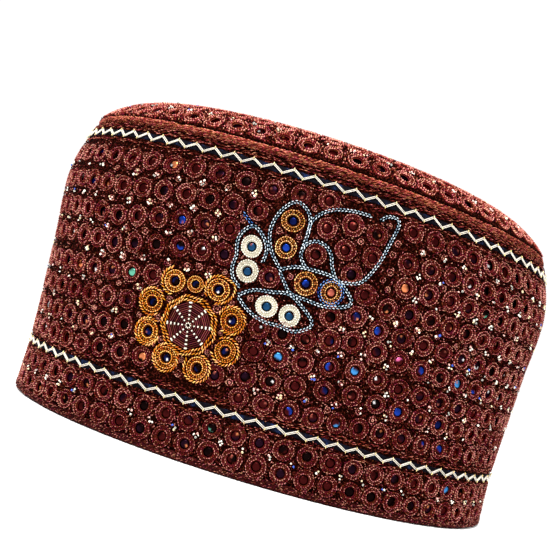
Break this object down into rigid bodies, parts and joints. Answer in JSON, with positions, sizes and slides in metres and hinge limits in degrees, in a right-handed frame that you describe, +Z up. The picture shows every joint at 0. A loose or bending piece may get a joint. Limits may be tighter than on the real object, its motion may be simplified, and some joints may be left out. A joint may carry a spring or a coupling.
{
  "type": "embroidered cap",
  "caption": "Soft brimless oval cap with an upright wall and flat domed crown, covered in stitched rings, with a flower and a butterfly worked on the front. It is worn on the head.",
  "frame": {"origin": "centre of the cap's footprint on the surface that its rim stands on", "axes": "+Z up from the rim to the crown, +X along the long side of the oval to the viewer's right, and the worked front faces -Y"},
  "size_m": [0.1976, 0.1431, 0.121],
  "materials": {
    "maroon_cloth": "matte",
    "maroon_thread": "satin",
    "piping_thread": "satin",
    "hem_thread": "satin",
    "ivory_thread": "satin",
    "ribbon": "satin",
    "gold_thread": "satin",
    "wheel_thread": "satin",
    "white_thread": "satin",
    "tan_thread": "satin",
    "blue_thread": "satin",
    "sequin": "gloss",
    "seed_bead": "gloss"
  },
  "bodies": {
    "root": {"side_wall": "maroon_cloth", "crown": "maroon_cloth", "crown_piping": "piping_thread", "hem_binding": "hem_thread", "lower_zigzag": "ivory_thread", "upper_zigzag": "ivory_thread", "flower_wheel": "wheel_thread", "flower_rim": "gold_thread", "butterfly_body_outline": "blue_thread", "butterfly_wing_outline": "blue_thread", "flower_petal_1": "gold_thread", "flower_petal_2": "gold_thread", "flower_petal_3": "gold_thread", "flower_petal_4": "gold_thread", "flower_petal_5": "gold_thread", "flower_petal_6": "gold_thread", "flower_petal_7": "gold_thread", "flower_petal_8": "gold_thread", "flower_petal_9": "gold_thread", "butterfly_white_ring_1": "white_thread", "butterfly_white_ring_2": "white_thread", "butterfly_white_ring_3": "white_thread", "butterfly_white_ring_4": "white_thread", "butterfly_tan_ring_1": "tan_thread", "butterfly_tan_ring_2": "tan_thread", "butterfly_tan_ring_3": "tan_thread", "butterfly_tan_ring_4": "tan_thread"}
  },
  "joints": []
}
